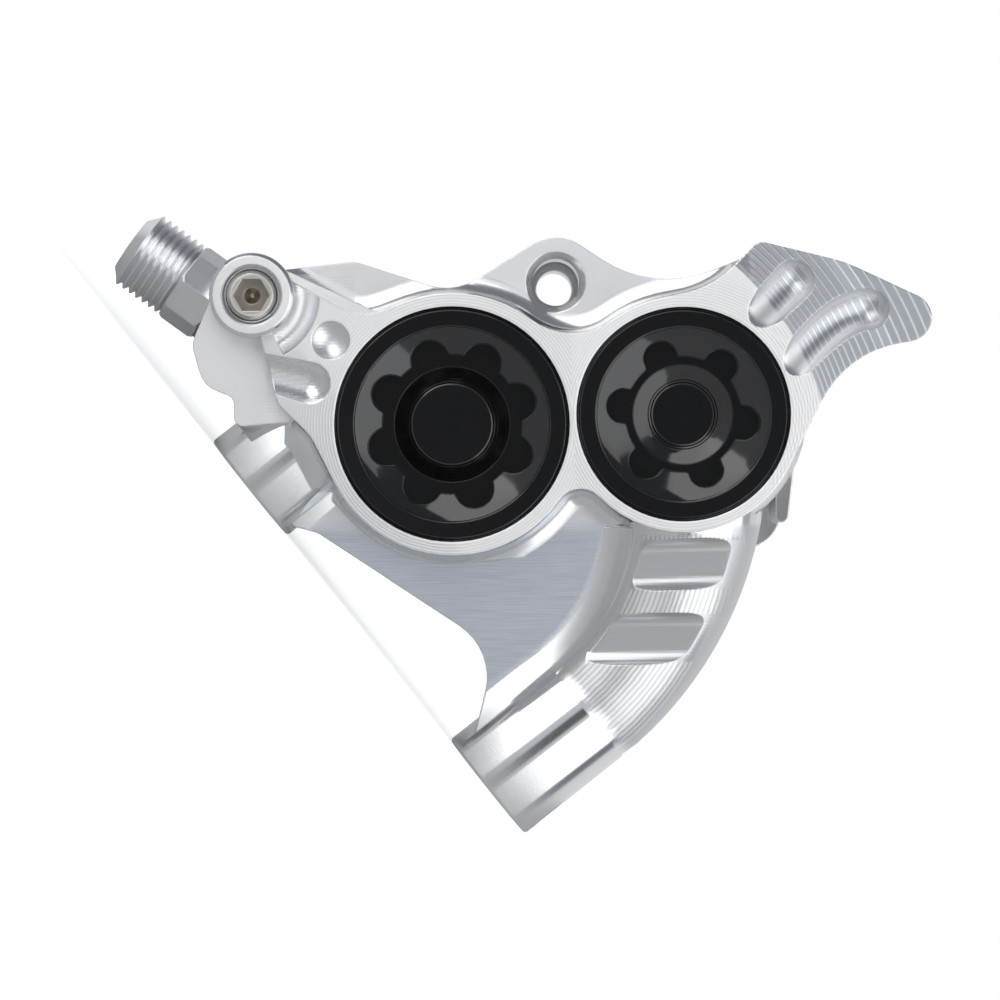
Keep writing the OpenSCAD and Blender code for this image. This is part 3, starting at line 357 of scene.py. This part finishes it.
def body_silver():
    turned_reach = 4.5
    turned_pitch = 0.26
    ball_pitch = 0.3
    made = Finish("body_silver")
    u, v = leaned(made.x, made.z)
    face, wing, boss, floor, web, post = flat_cuts(made, v)
    arm, milled, rim, arm_lines = arm_cuts(made, v)
    by_fin, fin, crest, slot, root_lines = fin_cuts(made, u, v, face)
    pocket = pocket_cuts(made, u, v)
    by_bore = bore_gap(made)
    turned = by_bore.step(turned_reach, turned_reach - 2.0) * made.lines(by_bore, turned_pitch)
    turned = face * turned
    satin = (face + wing + boss).math("MINIMUM", 1.0)
    brushed = made.streaks(u * 0.25, v * 24.0, made.y, 3.0)
    cloud = made.noise(0.35, 3.0)
    grain = made.noise(7.0, 3.0)

    brush_tone = brushed.step(0.25, 0.75).blend((0.66, 0.70, 0.77, 1.0), (0.86, 0.89, 0.94, 1.0))
    tints = (
        (satin, (0.95, 0.95, 0.945, 1.0)),
        (turned.step(0.3, 1.0), (0.82, 0.82, 0.815, 1.0)),
        (web, brush_tone),
        # Painted shade: the arm's two grooves are painted darker than its crown.
        (milled, (0.66, 0.67, 0.68, 1.0)),
        # Painted shade: the arm's rounded outer edge is painted darker grey.
        (rim, (0.66, 0.67, 0.68, 1.0)),
        (arm * arm_lines.step(-0.2, 0.9), (0.60, 0.605, 0.62, 1.0)),
        # Painted reflection: the fin's terraces are painted darker, as the dark gap they reflect;
        # painted highlight: their crests are painted light.
        (fin, (0.55, 0.57, 0.60, 1.0)),
        (crest, (0.90, 0.91, 0.92, 1.0)),
    )
    color = (cloud * 0.8 + 0.1).blend((0.80, 0.805, 0.815, 1.0), (0.88, 0.885, 0.89, 1.0))
    for cut, tint in tints:
        color = cut.blend(color, tint)

    rougher = (
        (face, 0.29), (wing, 0.36), (boss, 0.36), (floor, 0.1), (floor - web, 0.2),
        (post * (1.0 - floor), -0.10), (by_fin, 0.08), (fin, 0.08), (slot, 0.20),
        (arm, 0.20), (milled, 0.12), (rim, 0.15), (pocket, 0.18), (grain, 0.06),
    )
    roughness = 0.17 + web * (brushed * 0.14 - 0.06)
    for cut, amount in rougher:
        roughness = roughness + cut * amount

    ball_lines = made.lines(v, ball_pitch)
    marks = (
        (root_lines, 0.35), (web * brushed, 0.22), (arm * arm_lines, 0.28),
        (milled * ball_lines, 0.1), (pocket * ball_lines, 0.15),
        (grain, 0.04), (grain * floor, 0.06),
    )
    height = turned * 0.25
    for mark, amount in marks:
        height = height + mark * amount
    return made.done(color, roughness, height=height, edge=0.2)


finish_node("caliper_body", body_silver())


# Bore caps and their rings: two turned aluminium plugs, anodised gloss black, screwed into
# the outer ends of the large and small cylinders from the front. A rubber ring under each
# flange keeps the fluid in.
def cap_black(name, axis):
    turned_pitch = 0.24
    made = Finish(name)
    marks = made.lines(made.around_y(axis), turned_pitch)
    dust = made.noise(5.0, 4.0)
    flank = made.facing.within(0.6, 0.2, 0.05)
    tone = dust.blend((0.003, 0.003, 0.0032, 1.0), (0.007, 0.007, 0.0075, 1.0))
    roughness = 0.07 + dust * 0.04 + flank * 0.10
    height = flank * marks * 0.6 + dust * 0.02
    return made.done(tone, roughness, metallic=0.0, height=height, IOR=1.75)


def rubber():
    made = Finish("seal_rubber")
    speckle = made.noise(14.0, 3.0)
    tone = speckle.blend((0.022, 0.022, 0.0231, 1.0), (0.0352, 0.0352, 0.0363, 1.0))
    roughness = 0.5 + speckle * 0.2
    return made.done(tone, roughness, metallic=0.0, height=speckle, depth=0.01, edge=0.08)


finish_node("bore_cap_large", cap_black("cap_black_large", LARGE))
finish_node("bore_cap_small", cap_black("cap_black_small", SMALL))
seal_rubber = rubber()
finish_node("bore_cap_ring_large", seal_rubber)
finish_node("bore_cap_ring_small", seal_rubber)


# Pistons with their seals: four ground steel cups that slide in the cylinders, two on each
# side of the disc. A square rubber seal and a thin wiper sit in grooves of each cylinder,
# round the piston.
def piston_steel(name, axis):
    ground_pitch = 0.12
    turned_pitch = 0.18
    made = Finish(name)
    marks = made.lines(made.y, ground_pitch)
    rings = made.lines(made.around_y(axis), turned_pitch)
    end = made.facing.math("ABSOLUTE").step(0.7, 0.9)
    cloud = made.noise(1.2, 3.0)
    tone = cloud.blend((0.56, 0.565, 0.58, 1.0), (0.66, 0.665, 0.68, 1.0))
    height = marks * (1.0 - end) * 0.2 + rings * end * 0.3
    return made.done(tone, 0.2 + cloud * 0.1 + end * 0.06, height=height)


for side in ("outer", "inner"):
    for size, axis in (("large", LARGE), ("small", SMALL)):
        place = side + "_" + size
        finish_node("piston_" + place, piston_steel("piston_steel_" + place, axis))
        finish_node("piston_seal_" + place, seal_rubber)
        finish_node("dust_seal_" + place, seal_rubber)


# Brake pads: two stamped steel backplates, zinc plated, with a block of pressed friction
# material bonded to the face towards the disc. Each has an eye for the retaining pin and
# slides on it.
def backplate_steel():
    made = Finish("backplate_steel")
    spangle = made.noise(1.6, 4.0)
    sheared = (1.0 - made.facing.math("ABSOLUTE")).step(0.3, 0.6)
    streaks = made.streaks(made.x * 6.0, made.y * 0.6, made.z * 6.0, 2.0)
    tone = spangle.blend((0.40, 0.41, 0.43, 1.0), (0.52, 0.53, 0.54, 1.0))
    roughness = 0.34 + spangle * 0.14 + sheared * 0.08
    return made.done(tone, roughness, height=spangle * 0.4 + sheared * streaks)


def friction_lining():
    made = Finish("friction_lining")
    inputs = {"Vector": made.place, "Scale": 1.8}
    fleck = made.wire.node("ShaderNodeTexVoronoi", {}, inputs, "Distance").step(0.30, 0.18)
    grit = made.noise(5.0, 4.0)
    tone = grit.blend((0.10, 0.085, 0.075, 1.0), (0.21, 0.175, 0.15, 1.0))
    tone = (fleck * grit.step(0.45, 0.6)).blend(tone, (0.46, 0.33, 0.22, 1.0))
    roughness = 0.75 + grit * 0.2
    return made.done(tone, roughness, metallic=fleck * 0.25, height=grit, depth=0.06, edge=0.1)


backplate = backplate_steel()
lining = friction_lining()
for side in ("outer", "inner"):
    finish_node("pad_backplate_" + side, backplate)
    finish_node("pad_lining_" + side, lining)


# Pad spring: a bent strip of spring steel under the roof of the slot, whose four legs press
# the pads apart. The pads pinch it as they close. A copy of the CAD strip stands for it here.
def spring_steel():
    made = Finish("spring_steel")
    rolled = made.streaks(made.x * 0.8, made.y * 9.0, made.z * 0.8, 2.0)
    tone = rolled.blend((0.54, 0.55, 0.56, 1.0), (0.66, 0.67, 0.68, 1.0))
    return made.done(tone, 0.22 + rolled * 0.14, height=rolled * 0.5, edge=0.08)


def pad_spring():
    shape = bmesh.new()
    shape.from_mesh(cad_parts["pad_spring"].data)
    bmesh.ops.remove_doubles(shape, verts=shape.verts, dist=WELD)
    mesh = bpy.data.meshes.new("pad_spring_strip")
    shape.to_mesh(mesh)
    shape.free()
    drop_stored_normals(mesh)
    mesh.materials.append(spring_steel())
    piece = bpy.data.objects.new("pad_spring_strip", mesh)
    bpy.context.collection.objects.link(piece)
    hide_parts("pad_spring")
    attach(piece, "caliper")
    piece.modifiers.new("welded_shading", "NODES").node_group = SHADING
    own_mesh(piece)


pad_spring()


# Hose connector and washer: a straight steel fitting, turned and plated, screwed into the
# left end of the body against a copper washer. Eight flats take the spanner, and the hose's
# nut goes on the outside thread.
def connector_silver():
    made = Finish("connector_silver")
    cloud = made.noise(1.5, 3.0)
    marks = made.noise(12.0, 2.0)
    tone = cloud.blend((0.76, 0.77, 0.79, 1.0), (0.86, 0.865, 0.88, 1.0))
    return made.done(tone, 0.2 + marks * 0.10, height=marks, depth=0.006)


def washer_copper():
    made = Finish("washer_copper")
    tarnish = made.noise(2.0, 4.0)
    tone = tarnish.blend((0.40, 0.29, 0.22, 1.0), (0.26, 0.18, 0.13, 1.0))
    return made.done(tone, 0.28 + tarnish * 0.2, height=tarnish, depth=0.008)


finish_node("hose_connector", connector_silver())
finish_node("hose_connector_washer", washer_copper())


# Bleed screw and its ring: a short steel screw with a hexagon socket, turned home in the
# round boss beside the connector, with a rubber ring round it. Half a turn opens it.
def screw_steel():
    head_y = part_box("bleed_screw")[0][1] / MM
    socket_r = 1.68
    turned_pitch = 0.2
    made = Finish("screw_steel")
    distance = made.around_y(axis_of("bleed_screw"))
    rings = made.lines(distance, turned_pitch)
    head = made.facing.step(0.9, 0.98) * distance.step(socket_r, socket_r + 0.1)
    # Painted shade: the inside of the hex socket is painted dark.
    socket = distance.step(socket_r + 0.02, socket_r - 0.05)
    socket = socket * made.y.step(head_y + 0.1, head_y + 0.5)
    stain = made.noise(2.2, 3.0)
    bright = stain.blend((0.80, 0.79, 0.76, 1.0), (0.70, 0.68, 0.64, 1.0))
    dark = stain.blend((0.40, 0.36, 0.31, 1.0), (0.52, 0.47, 0.41, 1.0))
    roughness = 0.24 + stain * 0.12 + head * 0.1
    return made.done(socket.blend(bright, dark), roughness, height=head * rings * 0.3)


finish_node("bleed_screw", screw_steel())
finish_node("bleed_screw_ring", seal_rubber)


# Studio: a pale floor under the mounting face, two tall soft boxes beside the camera and a
# surround that the camera sees as white. The camera looks along the wheel's axis and is
# rolled until the line of the two bolts runs down to the right.
def photo_camera():
    focus_y = -5.0
    distance = 650.0
    focal_length = 264.4
    centre_u = 11.70
    centre_v = 12.26
    camera = bpy.data.cameras.new("camera")
    camera.lens = focal_length
    camera.sensor_width = 36.0
    camera.clip_start = 0.01
    holder = bpy.data.objects.new("camera", camera)
    bpy.context.collection.objects.link(holder)
    right = Vector((math.cos(LEAN), 0.0, math.sin(LEAN)))
    up = Vector((-math.sin(LEAN), 0.0, math.cos(LEAN)))
    back = Vector((0.0, -1.0, 0.0))
    place = right * centre_u + up * centre_v + back * (distance - focus_y)
    turn = Matrix((right, up, back)).transposed().to_4x4()
    holder.matrix_world = Matrix.Translation(place * MM) @ turn
    bpy.context.scene.camera = holder


def pale_floor():
    shadow_r = 0.045
    white_r = 0.095
    shadow_level = 0.64
    material = bpy.data.materials.new("pale_floor")
    material.use_nodes = True
    tree = material.node_tree
    tree.nodes.clear()
    wire = Wire(tree)
    place = wire.node("ShaderNodeTexCoord", {}, {}, "Object")
    fibre = wire.noise(place, 40.0, 3.0)
    paper = fibre.blend((0.68, 0.68, 0.68, 1.0), (0.72, 0.72, 0.72, 1.0))
    away = wire.node("ShaderNodeVectorMath", {"operation": "LENGTH"}, {0: place}, "Value")
    solid = wire.node("ShaderNodeBsdfDiffuse", {}, {"Color": paper})
    seen = wire.node("ShaderNodeLightPath", {}, {}, "Is Camera Ray")
    level = seen * (shadow_level + away.step(shadow_r, white_r) * (1.0 - shadow_level))
    glow = level.blend((0.0, 0.0, 0.0, 1.0), (1.0, 1.0, 1.0, 1.0))
    glow = wire.node("ShaderNodeEmission", {}, {"Color": glow})
    lit = wire.node("ShaderNodeAddShader", {}, {0: solid, 1: glow})
    wire.node("ShaderNodeOutputMaterial", {}, {"Surface": lit}, None)
    return material


def studio_floor():
    floor_r = 0.24
    mesh = bpy.data.meshes.new("studio_floor")
    shape = bmesh.new()
    bmesh.ops.create_circle(shape, cap_ends=True, radius=floor_r, segments=96)
    shape.to_mesh(mesh)
    shape.free()
    mesh.materials.append(pale_floor())
    floor = bpy.data.objects.new("studio_floor", mesh)
    bpy.context.collection.objects.link(floor)
    floor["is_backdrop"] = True


def soft_box(name, way, width, height, watts):
    """A lamp in the given direction from the caliper, turned to face it."""
    distance = 0.6
    aim = Vector((0.0, 0.0, 0.02))
    lamp = bpy.data.lights.new(name, "AREA")
    lamp.shape = "RECTANGLE"
    lamp.size = width
    lamp.size_y = height
    lamp.energy = watts
    holder = bpy.data.objects.new(name, lamp)
    bpy.context.collection.objects.link(holder)
    back = Vector(way).normalized()
    side = Vector((0.0, 0.0, 1.0)).cross(back).normalized()
    turn = Matrix((side, back.cross(side), back)).transposed().to_4x4()
    holder.matrix_world = Matrix.Translation(aim + Vector(way) * distance) @ turn
    holder.visible_camera = False
    holder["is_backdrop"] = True


def surround():
    """Grey walls for the reflections: dark at the camera and beside it, bright behind."""
    world = bpy.data.worlds.new("studio")
    bpy.context.scene.world = world
    world.use_nodes = True
    tree = world.node_tree
    tree.nodes.clear()
    wire = Wire(tree)
    x, y, z = wire.node("ShaderNodeTexCoord", {}, {}, "Generated").split()
    at_camera = (-y).step(0.985, 0.996)
    beside = y.within(0.06, 0.12, 0.06)
    above_left = (z * 0.8 - x * 0.6).step(0.35, 0.6)
    behind = y.step(0.05, 0.45) * z.math("ABSOLUTE").step(0.95, 0.35)
    seen = wire.node("ShaderNodeLightPath", {}, {}, "Is Camera Ray")
    tone = at_camera.blend((0.55, 0.57, 0.60, 1.0), (0.10, 0.105, 0.11, 1.0))
    tone = beside.math("MAXIMUM", above_left).blend(tone, (0.18, 0.19, 0.21, 1.0))
    tone = behind.blend(tone, (0.74, 0.75, 0.76, 1.0))
    tone = seen.blend(tone, (1.0, 1.0, 1.0, 1.0))
    glow = wire.node("ShaderNodeBackground", {}, {"Color": tone, "Strength": 1.0})
    wire.node("ShaderNodeOutputWorld", {}, {"Surface": glow}, None)


bpy.context.scene.view_settings.view_transform = "Standard"
photo_camera()
studio_floor()
soft_box("soft_box_right", (0.714, -0.616, 0.333), width=0.85, height=1.08, watts=2.7)
soft_box("soft_box_left", (-0.788, -0.616, 0.0), width=0.78, height=0.86, watts=3.3)
surround()

visual_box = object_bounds()
boxes = {"cad": cad_box, "visual": visual_box}
boxes = {name: [list(corner) for corner in box] for name, box in boxes.items()}
